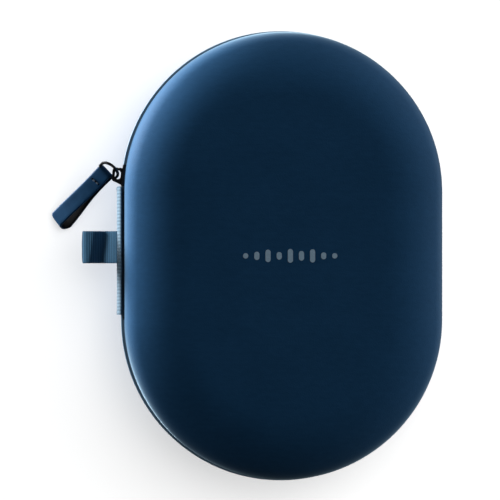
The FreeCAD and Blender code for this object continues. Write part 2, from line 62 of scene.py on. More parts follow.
LID_LOW, LID_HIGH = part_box("lid_cover")
BASE_LOW, BASE_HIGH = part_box("base_cover")
RADIUS = LID_HIGH.x
HALF_STRAIGHT = LID_HIGH.y - RADIUS
LID_LIP = LID_LOW.z
BASE_LIP = BASE_HIGH.z
MIDDLE = (LID_LIP + BASE_LIP) / 2
JOINTS = {joint["name"]: joint for joint in frame["joints"]}
HINGE = Vector(JOINTS["lid_hinge"]["pos_m"])
RING_BAR = Vector(JOINTS["strap_flap"]["pos_m"])
BAR_AXIS = Vector(JOINTS["strap_flap"]["axis"]).normalized()

# Layers of each half, and the arcs of its rounded side as (radius, turn in degrees).
COVER = 0.8 * MM
CORE = 3.0 * MM
LINING = 0.6 * MM
LID_RISE = 2.0 * MM
LID_ARCS = ((14.0 * MM, 50.0), (42.0 * MM, 37.0))
BASE_ARCS = ((14.0 * MM, 50.0), (30.0 * MM, 40.0))


# ------------------------------------------------------------ mesh helpers

def new_piece(name, verts, faces, material, rounded=True):
    """A mesh object with one material, shaded smooth unless it is a flat thing."""
    mesh = bpy.data.meshes.new(name)
    mesh.from_pydata(verts, [], faces)
    mesh.validate()
    piece = bpy.data.objects.new(name, mesh)
    bpy.context.scene.collection.objects.link(piece)
    piece.data.materials.append(material)
    if rounded:
        piece.data.polygons.foreach_set("use_smooth", [True] * len(piece.data.polygons))
    tidy_mesh(piece)
    return piece


def tidy_mesh(piece):
    """Welds doubled points and turns every face outwards."""
    work = bmesh.new()
    work.from_mesh(piece.data)
    bmesh.ops.remove_doubles(work, verts=work.verts, dist=1e-6)
    bmesh.ops.recalc_face_normals(work, faces=work.faces)
    work.to_mesh(piece.data)
    work.free()


def sharpen(piece, degrees):
    """Keeps edges crisp where two faces meet at more than this angle."""
    piece.data.set_sharp_from_angle(angle=math.radians(degrees))


def smooth(share):
    """Eases from 0 to 1, and stays there outside that range."""
    share = min(1.0, max(0.0, share))
    return share * share * (3 - 2 * share)


def grid_faces(rows, columns, close_rows, close_columns):
    """Four-sided faces of a grid of points, closed round either way where asked."""
    faces = []
    for row in range(rows if close_rows else rows - 1):
        for column in range(columns if close_columns else columns - 1):
            next_row = (row + 1) % rows
            next_column = (column + 1) % columns
            faces.append((row * columns + column, next_row * columns + column,
                          next_row * columns + next_column, row * columns + next_column))
    return faces


def end_caps(rings, ring):
    """The two faces that close a row of rings, each with this many points."""
    last = (rings - 1) * ring
    return [tuple(range(ring)), tuple(last + k for k in reversed(range(ring)))]


def place(radius, height, station):
    """A point at a station of the stadium track: (centre's y, direction in radians)."""
    centre_y, angle = station
    return Vector((radius * math.cos(angle), centre_y + radius * math.sin(angle), height))


def straight_stations(side, step):
    """Stations along one straight side: 1 is the side away from the hinge, -1 the hinge's."""
    count = max(2, round(2 * HALF_STRAIGHT / step))
    angle = 0.0 if side > 0 else math.pi
    return [(side * HALF_STRAIGHT * (2 * k / count - 1), angle) for k in range(count + 1)]


def end_stations(side, step):
    """Stations round one end, where the angle runs on from the side before it."""
    count = max(2, round(math.pi * RADIUS / step))
    first = 0.0 if side > 0 else math.pi
    return [(side * HALF_STRAIGHT, first + math.pi * k / count) for k in range(count + 1)]


def whole_track(step):
    """All the way round, counter-clockwise from the -Y end of the side away from the hinge."""
    stations = []
    for part in (straight_stations(1, step), end_stations(1, step),
                 straight_stations(-1, step), end_stations(-1, step)):
        stations += part[:-1]
    return stations


def zip_track(step):
    """From the hinge's -Y end, round that end, along the far side and round the other end."""
    near = end_stations(-1, step)
    right = straight_stations(1, step)
    far = end_stations(1, step)
    return near[:-1] + right[:-1] + far


def sweep(name, loop, stations, material, closed=True):
    """Runs a closed section of (radius, height) points along the stations."""
    verts = [place(radius, height, station) for station in stations for radius, height in loop]
    faces = grid_faces(len(stations), len(loop), closed, True)
    on_centre_line = [radius < 1e-9 for radius, _ in loop]
    faces = [face for face in faces
             if not all(on_centre_line[corner % len(loop)] for corner in face)]
    if not closed:
        faces += end_caps(len(stations), len(loop))
    return new_piece(name, verts, faces, material)


def tube(name, path, radius, material, sides=8):
    """A round tube along a row of points, capped at both ends."""
    count = len(path)
    verts = []
    normal = None
    for k, point in enumerate(path):
        ahead = path[k + 1] if k + 1 < count else point
        behind = path[k - 1] if k > 0 else point
        tangent = (ahead - behind).normalized()
        if normal is None:
            normal = tangent.orthogonal().normalized()
        normal = (normal - tangent * normal.dot(tangent)).normalized()
        other = tangent.cross(normal)
        for side in range(sides):
            angle = 2 * math.pi * side / sides
            verts.append(point + (normal * math.cos(angle) + other * math.sin(angle)) * radius)
    faces = grid_faces(count, sides, False, True) + end_caps(count, sides)
    return new_piece(name, verts, faces, material)


def join(name, pieces):
    """Joins pieces of one material into one."""
    work = bmesh.new()
    for piece in pieces:
        work.from_mesh(piece.data)
    first = pieces[0]
    work.to_mesh(first.data)
    work.free()
    for piece in pieces[1:]:
        bpy.data.objects.remove(piece)
    first.name = name
    first.data.name = name
    first.data.polygons.foreach_set("use_smooth", [True] * len(first.data.polygons))
    return first


# ------------------------------------------------------------ side profiles

def arc(centre, radius, start, stop, count):
    """Points on an arc, from start to stop in degrees, without the first."""
    points = []
    for k in range(1, count + 1):
        angle = math.radians(start + (stop - start) * k / count)
        points.append((centre[0] + radius * math.cos(angle), centre[1] + radius * math.sin(angle)))
    return points


def side_profile(inset, lip, up, rise, arcs, crowned):
    """From the lip to the centre line, moved in by inset, as (radius, height) points."""
    lip_steps = 4
    arc_steps = 12
    top_steps = 14
    x = RADIUS - inset
    points = [(x, lip + up * rise * k / lip_steps) for k in range(lip_steps + 1)]
    turned = 0.0
    for arc_radius, turn in arcs:
        x, y = points[-1]
        bend = arc_radius - inset
        centre = (x - bend * math.cos(math.radians(turned)),
                  y - up * bend * math.sin(math.radians(turned)))
        points += arc(centre, bend, up * turned, up * (turned + turn), arc_steps)
        turned += turn
    x, y = points[-1]
    if crowned:
        bend = x / math.cos(math.radians(turned))
        centre = (0.0, y - up * bend * math.sin(math.radians(turned)))
        points += arc(centre, bend, up * turned, up * 90.0, top_steps)
    else:
        points += [(x * (1 - k / top_steps), y) for k in range(1, top_steps + 1)]
    points[-1] = (0.0, points[-1][1])
    return points


def lid_profile(inset):
    """The lid's side and its crowned top."""
    return side_profile(inset, LID_LIP, 1, LID_RISE, LID_ARCS, True)


def base_profile(inset):
    """The base's side, which starts its arcs where they end at the flat underside."""
    drop = 0.0
    turned = 0.0
    for arc_radius, turn in BASE_ARCS:
        drop += arc_radius * (math.sin(math.radians(turned + turn))
                              - math.sin(math.radians(turned)))
        turned += turn
    rise = BASE_HIGH.z - BASE_LOW.z - drop
    return side_profile(inset, BASE_LIP, -1, rise, BASE_ARCS, False)


def layer_loop(profile, outer, inner):
    """A closed section between two insets of a profile."""
    return profile(outer) + list(reversed(profile(inner)))


def soften_lip(loop, lip, inner_radius):
    """Rounds a layer's outer lip edge over its first half millimetre."""
    soft = 0.45 * MM
    depth_share = 0.6
    rounded = []
    for radius, height in loop:
        depth = abs(height - lip)
        if depth < soft and radius > inner_radius:
            radius -= soft * (1 - math.sqrt(max(0.0, 1 - (1 - depth / soft) ** 2))) * depth_share
        rounded.append((radius, height))
    return rounded


# ------------------------------------------------------------ material helpers

class Finish:
    """A small builder for one procedural material."""

    def __init__(self, name, roughness, metallic=0.0, coat=0.0, coat_roughness=0.3,
                 sheen=0.0, sheen_roughness=0.5, sheen_tint=(1.0, 1.0, 1.0), specular=0.5,
                 specular_tint=(1.0, 1.0, 1.0), ior=1.5):
        self.material = bpy.data.materials.new(name)
        self.material.use_nodes = True
        self.tree = self.material.node_tree
        self.shader = self.tree.nodes["Principled BSDF"]
        self.shader.inputs["Roughness"].default_value = roughness
        self.shader.inputs["Metallic"].default_value = metallic
        self.shader.inputs["Coat Weight"].default_value = coat
        self.shader.inputs["Coat Roughness"].default_value = coat_roughness
        self.shader.inputs["Sheen Weight"].default_value = sheen
        self.shader.inputs["Sheen Roughness"].default_value = sheen_roughness
        self.shader.inputs["Sheen Tint"].default_value = (*sheen_tint, 1.0)
        self.shader.inputs["Specular IOR Level"].default_value = specular
        self.shader.inputs["Specular Tint"].default_value = (*specular_tint, 1.0)
        self.shader.inputs["IOR"].default_value = ior
        place_node = self.node("ShaderNodeTexCoord")
        self.position = place_node.outputs["Object"]
        self.height = None

    def node(self, kind, **settings):
        """A new shader node with these settings."""
        made = self.tree.nodes.new(kind)
        for key, value in settings.items():
            setattr(made, key, value)
        return made

    def link(self, source, target):
        self.tree.links.new(source, target)

    def scaled(self, scale):
        """Object coordinates stretched by (x, y, z)."""
        mapping = self.node("ShaderNodeMapping")
        mapping.inputs["Scale"].default_value = scale
        self.link(self.position, mapping.inputs["Vector"])
        return mapping.outputs["Vector"]

    def noise(self, scale, detail=3.0, stretch=(1, 1, 1)):
        """Cloudy noise from 0 to 1."""
        texture = self.node("ShaderNodeTexNoise")
        texture.inputs["Scale"].default_value = scale
        texture.inputs["Detail"].default_value = detail
        self.link(self.scaled(stretch), texture.inputs["Vector"])
        return texture.outputs["Fac"]

    def cells(self, scale, stretch=(1, 1, 1)):
        """Small cells: 0 at each centre, more towards the edges."""
        texture = self.node("ShaderNodeTexVoronoi", feature="F1")
        texture.inputs["Scale"].default_value = scale
        self.link(self.scaled(stretch), texture.inputs["Vector"])
        return texture.outputs["Distance"]

    def ribs(self, direction, scale, distortion=0.0):
        """Parallel ribs across X, Y, Z or the diagonal, with a scale from rib_scale."""
        texture = self.node("ShaderNodeTexWave", bands_direction=direction)
        texture.inputs["Scale"].default_value = scale
        texture.inputs["Distortion"].default_value = distortion
        self.link(self.position, texture.inputs["Vector"])
        return texture.outputs["Fac"]

    def math(self, operation, a, b):
        """A sum or product of two sockets, or of a socket and a number."""
        made = self.node("ShaderNodeMath", operation=operation)
        for socket, value in zip(made.inputs, (a, b)):
            if isinstance(value, (int, float)):
                socket.default_value = value
            else:
                self.link(value, socket)
        return made.outputs[0]

    def mix(self, *parts):
        """The sum of (factor, weight) pairs."""
        total = None
        for factor, weight in reversed(parts):
            part = self.math("MULTIPLY", factor, weight)
            total = part if total is None else self.math("ADD", part, total)
        return total

    def colour(self, factor, dark, light, low=0.3, high=0.7):
        """Colour runs from dark to light as the factor goes from low to high."""
        ramp = self.node("ShaderNodeValToRGB")
        ramp.color_ramp.elements[0].position = low
        ramp.color_ramp.elements[0].color = (*dark, 1)
        ramp.color_ramp.elements[1].position = high
        ramp.color_ramp.elements[1].color = (*light, 1)
        self.link(factor, ramp.inputs["Fac"])
        self.link(ramp.outputs["Color"], self.shader.inputs["Base Color"])

    def roughen(self, factor, low, high):
        """Roughness runs from low to high with the factor."""
        spread = self.node("ShaderNodeMapRange")
        spread.inputs["To Min"].default_value = low
        spread.inputs["To Max"].default_value = high
        self.link(factor, spread.inputs["Value"])
        self.link(spread.outputs["Result"], self.shader.inputs["Roughness"])

    def bump(self, factor, depth, strength=1.0):
        """Adds a layer of relief, depth in metres."""
        relief = self.node("ShaderNodeBump")
        relief.inputs["Strength"].default_value = strength
        relief.inputs["Distance"].default_value = depth
        self.link(factor, relief.inputs["Height"])
        if self.height is not None:
            self.link(self.height, relief.inputs["Normal"])
        self.height = relief.outputs["Normal"]
        self.link(self.height, self.shader.inputs["Normal"])


def rib_scale(pitch):
    """The wave texture's scale for ribs at this pitch."""
    ribs_at_scale_one = 20.0 / (2 * math.pi)
    return 1.0 / pitch / ribs_at_scale_one


# ------------------------------------------------------------ materials

def skin_finish():
    """Soft-touch navy coated fabric: fine pebble, faint cross weave and slubs, nearly matt."""
    finish = Finish("soft_touch_navy", 0.62, sheen=0.70, sheen_roughness=0.36,
                    sheen_tint=(0.60, 0.85, 1.0), specular_tint=(0.7, 0.92, 1.0), ior=1.13)
    mottling = finish.noise(38.0, 4.0)
    weave = finish.ribs("Y", rib_scale(0.62 * MM), 0.8)
    slubs = finish.noise(520.0, 3.0, (0.45, 1.0, 1.0))
    grain = finish.cells(1500.0)
    finish.colour(finish.mix((mottling, 0.40), (weave, 0.15), (slubs, 0.45)),
                  (0.0110, 0.0610, 0.149), (0.0155, 0.0790, 0.190))
    finish.roughen(mottling, 0.57, 0.66)
    finish.bump(weave, 0.010 * MM, 0.5)
    finish.bump(grain, 0.045 * MM, 0.7)
    finish.bump(slubs, 0.05 * MM, 0.6)
    return finish.material


def foam_finish():
    """Black moulded foam with fine cells."""
    finish = Finish("eva_foam", 0.85)
    cells = finish.cells(2600.0)
    finish.colour(cells, (0.018, 0.018, 0.020), (0.045, 0.045, 0.05), 0.1, 0.6)
    finish.bump(cells, 0.08 * MM)
    return finish.material


def lining_finish():
    """Brushed knit lining, nearly black with a blue cast."""
    finish = Finish("brushed_lining", 0.92, sheen=0.6, sheen_roughness=0.45, specular=0.2)
    fibres = finish.noise(900.0, 5.0)
    patches = finish.noise(30.0, 3.0)
    finish.colour(finish.mix((fibres, 0.6), (patches, 0.4)),
                  (0.018, 0.021, 0.030), (0.044, 0.052, 0.070), 0.35, 0.68)
    finish.bump(fibres, 0.12 * MM, 0.7)
    finish.bump(finish.cells(700.0), 0.06 * MM, 0.6)
    return finish.material


def woven_finish(name, dark, light, rib_axis, pitch, cross_axis, cross_pitch, sheen=0.25):
    """A woven tape: strong ribs one way and fine yarns the other way."""
    finish = Finish(name, 0.72, sheen=sheen, sheen_roughness=0.4, specular=0.3)
    ribs = finish.ribs(rib_axis, rib_scale(pitch), 0.25)
    yarns = finish.ribs(cross_axis, rib_scale(cross_pitch), 0.4)
    fuzz = finish.noise(1400.0, 3.0)
    finish.colour(finish.mix((ribs, 0.45), (yarns, 0.2), (fuzz, 0.35)), dark, light, 0.25, 0.75)
    finish.roughen(fuzz, 0.62, 0.84)
    finish.bump(ribs, 0.10 * MM, 0.8)
    finish.bump(yarns, 0.05 * MM, 0.6)
    return finish.material


def metal_finish():
    """Black lacquered metal, a little scuffed."""
    finish = Finish("black_lacquer", 0.3, metallic=0.6, coat=0.5, coat_roughness=0.15)
    scuffs = finish.noise(700.0, 5.0)
    finish.colour(scuffs, (0.006, 0.006, 0.007), (0.020, 0.020, 0.022), 0.35, 0.8)
    finish.roughen(scuffs, 0.24, 0.42)
    finish.bump(finish.noise(2200.0, 2.0), 0.01 * MM, 0.5)
    return finish.material


def coil_finish():
    """Dark nylon of the zip's coils."""
    finish = Finish("nylon_coil", 0.42, specular=0.5)
    tone = finish.noise(800.0, 3.0)
    finish.colour(tone, (0.006, 0.012, 0.022), (0.014, 0.024, 0.042))
    finish.roughen(tone, 0.34, 0.5)
    return finish.material


def leather_finish(name, dark, light):
    """Smooth leather look with a fine pebble."""
    finish = Finish(name, 0.55, specular=0.12)
    tone = finish.noise(220.0, 4.0)
    pebble = finish.cells(1900.0)
    finish.colour(tone, dark, light)
    finish.roughen(tone, 0.48, 0.62)
    finish.bump(pebble, 0.035 * MM, 0.7)
    finish.bump(finish.noise(500.0, 3.0), 0.03 * MM, 0.6)
    return finish.material


def thread_finish():
    """Pale twisted thread."""
    finish = Finish("bonded_thread", 0.55, sheen=0.3, specular=0.4)
    twist = finish.ribs("DIAGONAL", rib_scale(0.25 * MM))
    finish.colour(twist, (0.34, 0.42, 0.50), (0.66, 0.74, 0.82))
    finish.bump(twist, 0.04 * MM)
    return finish.material


def mesh_finish():
    """Knitted pocket mesh: rows of small dark holes in a fine net."""
    finish = Finish("pocket_net", 0.7, sheen=0.4, specular=0.35)
    holes = finish.cells(620.0, (1.0, 1.15, 0.0))
    finish.colour(holes, (0.0015, 0.0018, 0.0025), (0.030, 0.034, 0.045), 0.28, 0.42)
    finish.bump(holes, 0.25 * MM)
    finish.bump(finish.noise(1500.0), 0.04 * MM, 0.5)
    return finish.material


def ink_finish():
    """Pale blue-grey printed ink."""
    finish = Finish("printed_ink", 0.42, specular=0.5)
    speckle = finish.noise(900.0, 4.0)
    finish.colour(speckle, (0.36, 0.54, 0.70), (0.44, 0.64, 0.82))
    finish.roughen(speckle, 0.36, 0.5)
    finish.bump(finish.cells(1500.0), 0.015 * MM, 0.5)
    return finish.material


MATERIAL = {
    "skin": skin_finish(),
    "foam": foam_finish(),
    "lining": lining_finish(),
    # The base's lip binding is coloured pale blue, far lighter than the navy skin: a painted
    # highlight for its lit strip below the lid.
    "edge": woven_finish("lip_binding", (0.22, 0.38, 0.53), (0.40, 0.58, 0.74),
                         "Z", 0.30 * MM, "DIAGONAL", 0.45 * MM),
    # The zip tapes are a woven navy whose colour is lightened beyond the skin's as a painted
    # highlight for the bright strip between the halves.
    "zip_tape": woven_finish("zip_tape", (0.060, 0.110, 0.160), (0.130, 0.210, 0.280),
                             "Z", 0.34 * MM, "DIAGONAL", 0.40 * MM),
    "hinge": woven_finish("hinge_weave", (0.055, 0.115, 0.170), (0.140, 0.240, 0.330),
                          "Y", 1.60 * MM, "Z", 0.42 * MM, 0.4),
    "webbing": woven_finish("grosgrain", (0.006, 0.040, 0.085), (0.036, 0.125, 0.215),
                            "X", 0.85 * MM, "Y", 0.36 * MM, 0.3),
    "elastic": woven_finish("ribbed_elastic", (0.008, 0.010, 0.014), (0.028, 0.031, 0.040),
                            "Y", 0.80 * MM, "X", 0.50 * MM),
    "metal": metal_finish(),
    "coil": coil_finish(),
    "strap_face": leather_finish("strap_face", (0.004, 0.034, 0.088), (0.007, 0.047, 0.114)),
    "strap_back": leather_finish("strap_back", (0.0025, 0.0028, 0.0035), (0.006, 0.0065, 0.008)),
    "strap_edge": leather_finish("strap_edge", (0.045, 0.070, 0.095), (0.075, 0.110, 0.140)),
    "thread": thread_finish(),
    "mesh": mesh_finish(),
    "ink": ink_finish(),
}


def dress(piece, body, slot, *nodes):
    """Says which body a new piece rides on and the CAD nodes it replaces; the record slot is not
    used.
    """
    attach(piece, body)
    if nodes:
        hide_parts(*nodes)


def finish_node(node, material, bevel=0.0, thicken=0.0):
    """Gives a CAD node a better material, and softer edges or a heavier wire where asked."""
    piece = frame["nodes"][node]
    piece.data.materials.clear()
    piece.data.materials.append(MATERIAL[material])
    if bevel > 0.0:
        modifier = piece.modifiers.new("soft_edges", "BEVEL")
        modifier.width = bevel
        modifier.segments = 2
        modifier.limit_method = "ANGLE"
        modifier.angle_limit = math.radians(40)
    if thicken > 0.0:
        modifier = piece.modifiers.new("heavier", "DISPLACE")
        modifier.strength = thicken
        modifier.mid_level = 0.0


# ------------------------------------------------------------ stage: camera, light, floor

def make_camera():
    """Nearly straight above, leaning a little to the hinge side, with a long lens."""
    lean = math.radians(7.0)
    distance = 1.6
    frame_width = 0.2345
    aim = Vector((-15.9 * MM, 2.7 * MM, 33.0 * MM))
    data = bpy.data.cameras.new("view")
    data.sensor_width = 36.0
    data.lens = data.sensor_width * distance / frame_width
    camera = bpy.data.objects.new("view", data)
    bpy.context.scene.collection.objects.link(camera)
    camera.location = aim + Vector((-math.sin(lean), 0.0, math.cos(lean))) * distance
    camera.rotation_euler = (0.0, -lean, 0.0)
    bpy.context.scene.camera = camera


def softbox(name, stands_at, aims_at, width, height, power):
    """A rectangular area light that the camera doesn't see."""
    data = bpy.data.lights.new(name, "AREA")
    data.shape = "RECTANGLE"
    data.size = width
    data.size_y = height
    data.energy = power
    lamp = bpy.data.objects.new(name, data)
    bpy.context.scene.collection.objects.link(lamp)
    lamp.location = stands_at
    direction = Vector(aims_at) - Vector(stands_at)
    lamp.rotation_euler = direction.to_track_quat("-Z", "Y").to_euler()
    lamp.visible_camera = False
    return lamp


def fade_by(tree, direction, low, high, from_value, to_value):
    """A smooth change of brightness with the angle to a direction: low and high are cosines."""
    coordinates = tree.nodes.new("ShaderNodeTexCoord")
    along = tree.nodes.new("ShaderNodeVectorMath")
    along.operation = "DOT_PRODUCT"
    along.inputs[1].default_value = Vector(direction).normalized()
    tree.links.new(coordinates.outputs["Generated"], along.inputs[0])
    fade = tree.nodes.new("ShaderNodeMapRange")
    fade.interpolation_type = "SMOOTHSTEP"
    fade.inputs["From Min"].default_value = low
    fade.inputs["From Max"].default_value = high
    fade.inputs["To Min"].default_value = from_value
    fade.inputs["To Max"].default_value = to_value
    tree.links.new(along.outputs["Value"], fade.inputs["Value"])
    return fade.outputs["Result"]


def make_world():
    """A dim tent with a glow low on the left and on the right, white where the camera sees it."""
    world = bpy.data.worlds.new("studio")
    bpy.context.scene.world = world
    world.use_nodes = True
    tree = world.node_tree
    tent = tree.nodes["Background"]
    glow = fade_by(tree, (0, 0.5, 0.87), -0.2, 0.7, 0.03, 0.088)
    left_glow = fade_by(tree, (-0.84, 0.45, -0.26), 0.60, 1.0, 0.0, 1.8)
    right_glow = fade_by(tree, (0.89, 0.44, -0.05), 0.60, 1.0, 0.0, 2.3)
    total = glow
    for side_glow in (left_glow, right_glow):
        added = tree.nodes.new("ShaderNodeMath")
        tree.links.new(total, added.inputs[0])
        tree.links.new(side_glow, added.inputs[1])
        total = added.outputs[0]
    tree.links.new(total, tent.inputs["Strength"])
    seen = tree.nodes.new("ShaderNodeBackground")
    seen.inputs["Strength"].default_value = 0.95
    rays = tree.nodes.new("ShaderNodeLightPath")
    mixed = tree.nodes.new("ShaderNodeMixShader")
    tree.links.new(rays.outputs["Is Camera Ray"], mixed.inputs[0])
    tree.links.new(tent.outputs[0], mixed.inputs[1])
    tree.links.new(seen.outputs[0], mixed.inputs[2])
    tree.links.new(mixed.outputs[0], tree.nodes["World Output"].inputs["Surface"])
    for background in (tent, seen):
        background.inputs["Color"].default_value = (1.0, 1.0, 1.0, 1.0)


def make_stage():
    """The world, a floor that neither lights nor shades the case, and the floor's own two lamps."""
    bpy.context.scene.view_settings.view_transform = "Standard"
    make_world()
    half = 4.0
    under_case = 0.05 * MM
    corners = [(-half, -half, 0), (half, -half, 0), (half, half, 0), (-half, half, 0)]
    floor = new_piece("floor", corners, [(0, 1, 2, 3)], floor_finish(), False)
    floor.location.z = -under_case
    floor.visible_diffuse = False
    floor.visible_glossy = False
    floor.visible_shadow = False
    size = 1.6
    shading = softbox("floor_shading", (0.45, 0.65, 1.5), (0.0, 0.0, 0.0), size, size, 30.0)
    wash = softbox("floor_wash", (0.0, 0.0, 2.0), (0.0, 0.0, 0.0), size, size, 66.0)
    wash.data.use_shadow = False
    for lamp in (shading, wash):
        light_only(lamp, [floor])


def light_only(lamp, pieces):
    """The lamp lights these pieces and nothing else."""
    receivers = bpy.data.collections.new(lamp.name + "_receivers")
    for piece in pieces:
        receivers.objects.link(piece)
    lamp.light_linking.receiver_collection = receivers


def light_rim(pieces):
    """A panel low on the hinge side that brightens the left rim, the hinge tape and the strap."""
    size = 0.16
    panel = softbox("left_panel", (-0.26, 0.16, -0.06), (-0.04, 0.0, 0.03), size, size, 2.8)
    light_only(panel, pieces)


def light_webbing(loop):
    """A small lamp low on the left that brings out the webbing's dip and ribs."""
    size = 0.12
    lamp = softbox("webbing_light", (-0.55, 0.12, 0.24), HINGE, size, size, 3.6)
    light_only(lamp, [loop])


def floor_finish():
    """Plain matt grey that its own two lamps bring up to white."""
    finish = Finish("pale_floor", 0.9, specular=0.1)
    tone = finish.noise(3.0, 2.0)
    finish.colour(tone, (0.465, 0.465, 0.465), (0.48, 0.48, 0.48))
    return finish.material


# ------------------------------------------------------------ shells

TRACK_STEP = 2.2 * MM


def make_shells():
    """Skins and linings, swept round the stadium from the side profiles."""
    stations = whole_track(TRACK_STEP)
    core = COVER + CORE
    skins = []
    for half, profile, lip in (("lid", lid_profile, LID_LIP), ("base", base_profile, BASE_LIP)):
        loop = soften_lip(layer_loop(profile, 0.0, COVER), lip, RADIUS - COVER / 2)
        skin = sweep(half + "_skin", loop, stations, MATERIAL["skin"])
        settle_skin(skin)
        sharpen(skin, 50)
        dress(skin, half, "navy_cover", half + "_cover")
        skins.append(skin)
        liner = sweep(half + "_liner", layer_loop(profile, core, core + LINING), stations,
                      MATERIAL["lining"])
        sharpen(liner, 50)
        dress(liner, half, "lining", half + "_lining")
        finish_node(half + "_core", "foam")
    return skins


def settle_skin(skin):
    """Moulded foam is never quite true: a slow wander of a few hundredths of a millimetre."""
    wander = 0.05 * MM
    waves_per_metre = 26.0
    underside = 0.5 * MM
    outward = [Vector(normal.vector) for normal in skin.data.vertex_normals]
    for vertex, normal in zip(skin.data.vertices, outward):
        if vertex.co.z > underside:
            vertex.co += normal * noise.noise(vertex.co * waves_per_metre) * wander


def make_edges():
    """Bindings on the two lips, slightly rounded, the base's a little proud and painted pale blue
    as a highlight.
    """
    stations = whole_track(TRACK_STEP)
    inner = RADIUS - 3.4 * MM
    edges = []
    # The base's binding takes the pale finish, a painted highlight; the lid's takes the navy skin.
    for half, slot, material, proud in (("lid", "navy_cover", "skin", 0.0),
                                        ("base", "navy_binding", "edge", 0.45 * MM)):
        node = half + "_lip_binding"
        low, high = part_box(node)
        loop = rounded_box(inner, low.z, high.x + proud, high.z, 0.3 * MM)
        edge = sweep(half + "_edge", loop, stations, MATERIAL[material])
        dress(edge, half, slot, node)
        edges.append(edge)
    return edges


def rounded_box(low_x, low_z, high_x, high_z, radius, steps=4):
    """A closed section with rounded corners, counter-clockwise."""
    points = []
    for x, z, start in ((high_x - radius, low_z + radius, -90),
                        (high_x - radius, high_z - radius, 0),
                        (low_x + radius, high_z - radius, 90),
                        (low_x + radius, low_z + radius, 180)):
        points.append((x + radius * math.cos(math.radians(start)),
                       z + radius * math.sin(math.radians(start))))
        points += arc((x, z), radius, start, start + 90, steps)
    return points


# ------------------------------------------------------------ zip

def make_zip():
    """Two woven tapes, each with a nylon coil sewn behind it."""
    stations = zip_track(TRACK_STEP)
    cloth = 0.6 * MM
    for half in ("base", "lid"):
        low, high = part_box("zip_tape_" + half)
        loop = rounded_box(high.x - cloth, low.z, high.x, high.z, 0.12 * MM, 2)
        tape = sweep("zip_tape_%s_cloth" % half, loop, stations, MATERIAL["zip_tape"], False)
        dress(tape, half, "zip_tape", "zip_tape_" + half)
        low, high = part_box("zip_coil_" + half)
        make_coil(half, high.x, low.z, high.z)


def make_coil(half, outer, low, high):
    """A coil of nylon wound along the track, one turn to each tooth."""
    pitch = 1.5 * MM
    wire = 0.26 * MM
    reach = (high - low) / 2 - wire
    centre_r = outer - reach - wire
    centre_z = (low + high) / 2
    turn_steps = 10
    length = 2 * math.pi * RADIUS + 2 * HALF_STRAIGHT
    count = int(length / pitch) * turn_steps
    path = []
    for k in range(count + 1):
        station = station_at(length * k / count)
        angle = 2 * math.pi * k / turn_steps
        path.append(place(centre_r + reach * math.cos(angle), centre_z + reach * math.sin(angle),
                          station))
    coil = tube("zip_coil_%s_turns" % half, path, wire, MATERIAL["coil"], 5)
    dress(coil, half, "zip_coil", "zip_coil_" + half)


def station_at(distance):
    """The station at this distance along the zip's track."""
    end = math.pi * RADIUS
    if distance < end:
        return (-HALF_STRAIGHT, math.pi + distance / RADIUS)
    if distance < end + 2 * HALF_STRAIGHT:
        return (distance - end - HALF_STRAIGHT, 0.0)
    return (HALF_STRAIGHT, (distance - end - 2 * HALF_STRAIGHT) / RADIUS)


# ------------------------------------------------------------ hinge and loop

# The woven tape lies this far towards the parked slider.
TAPE_SHIFT = 2.4 * MM


def tape_swell(share):
    """How far the hinge tape bellies out at this share of its height."""
    return 1.4 * MM * math.sin(math.pi * share)


def make_hinge_tape():
    """A woven tape outside, notched between its ribs on the inner face."""
    low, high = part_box("hinge_tape")
    tall = high.z - low.z
    pitch = 1.6 * MM
    thick = 1.0 * MM
    notch_outside = 0.03 * MM
    notch_inside = 0.24 * MM
    tapered_steps = 10.0
    count = round((high.y - low.y) / pitch) * 8
    verts = []
    for k in range(count + 1):
        y = low.y + TAPE_SHIFT + (high.y - low.y) * k / count
        wave = 0.5 + 0.5 * math.cos(2 * math.pi * (y - low.y) / pitch)
        taper = 1 - 0.35 * max(0.0, 1 - min(k, count - k) / tapered_steps) ** 2
        for rise, depth in strip_section(tall, thick, 22):
            notch = notch_outside * wave if depth < thick / 2 else -notch_inside * wave
            x = low.x - tape_swell(rise / tall) + depth * taper + notch
            verts.append((x, y, low.z + rise))
    tape = strip_mesh("hinge_weave", verts, count + 1, MATERIAL["hinge"])
    bend_on_hinge(tape, "hinge_tape")
    return tape


def make_hinge_strip():
    """A plain strip inside."""
    low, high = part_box("hinge_inner_strip")
    count = 60
    verts = []
    for k in range(count + 1):
        y = low.y + (high.y - low.y) * k / count
        for rise, depth in strip_section(high.z - low.z, high.x - low.x, 22):
            verts.append((low.x + depth, y, low.z + rise))
    strip = strip_mesh("hinge_lining", verts, count + 1, MATERIAL["lining"])
    bend_on_hinge(strip, "hinge_inner_strip")


def strip_section(tall, thick, rows):
    """A closed section of a strip with softened edges, as (height, depth from its face)."""
    soft = thick * 0.3
    face = [(tall * k / rows, 0.0) for k in range(1, rows)]
    back = [(tall * k / rows, thick) for k in reversed(range(1, rows))]
    far_edge = [(tall, soft), (tall, thick - soft)]
    return [(0.0, soft)] + face + far_edge + back + [(0.0, thick - soft)]


def strip_mesh(name, verts, rings, material):
    """A capped strip from rings of points that all have the same count."""
    ring = len(verts) // rings
    faces = grid_faces(rings, ring, False, True) + end_caps(rings, ring)
    return new_piece(name, verts, faces, material)


def bend_on_hinge(piece, node):
    """Hides the CAD node the piece replaces and bakes the piece's place into its points."""
    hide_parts(node)
    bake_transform(piece)


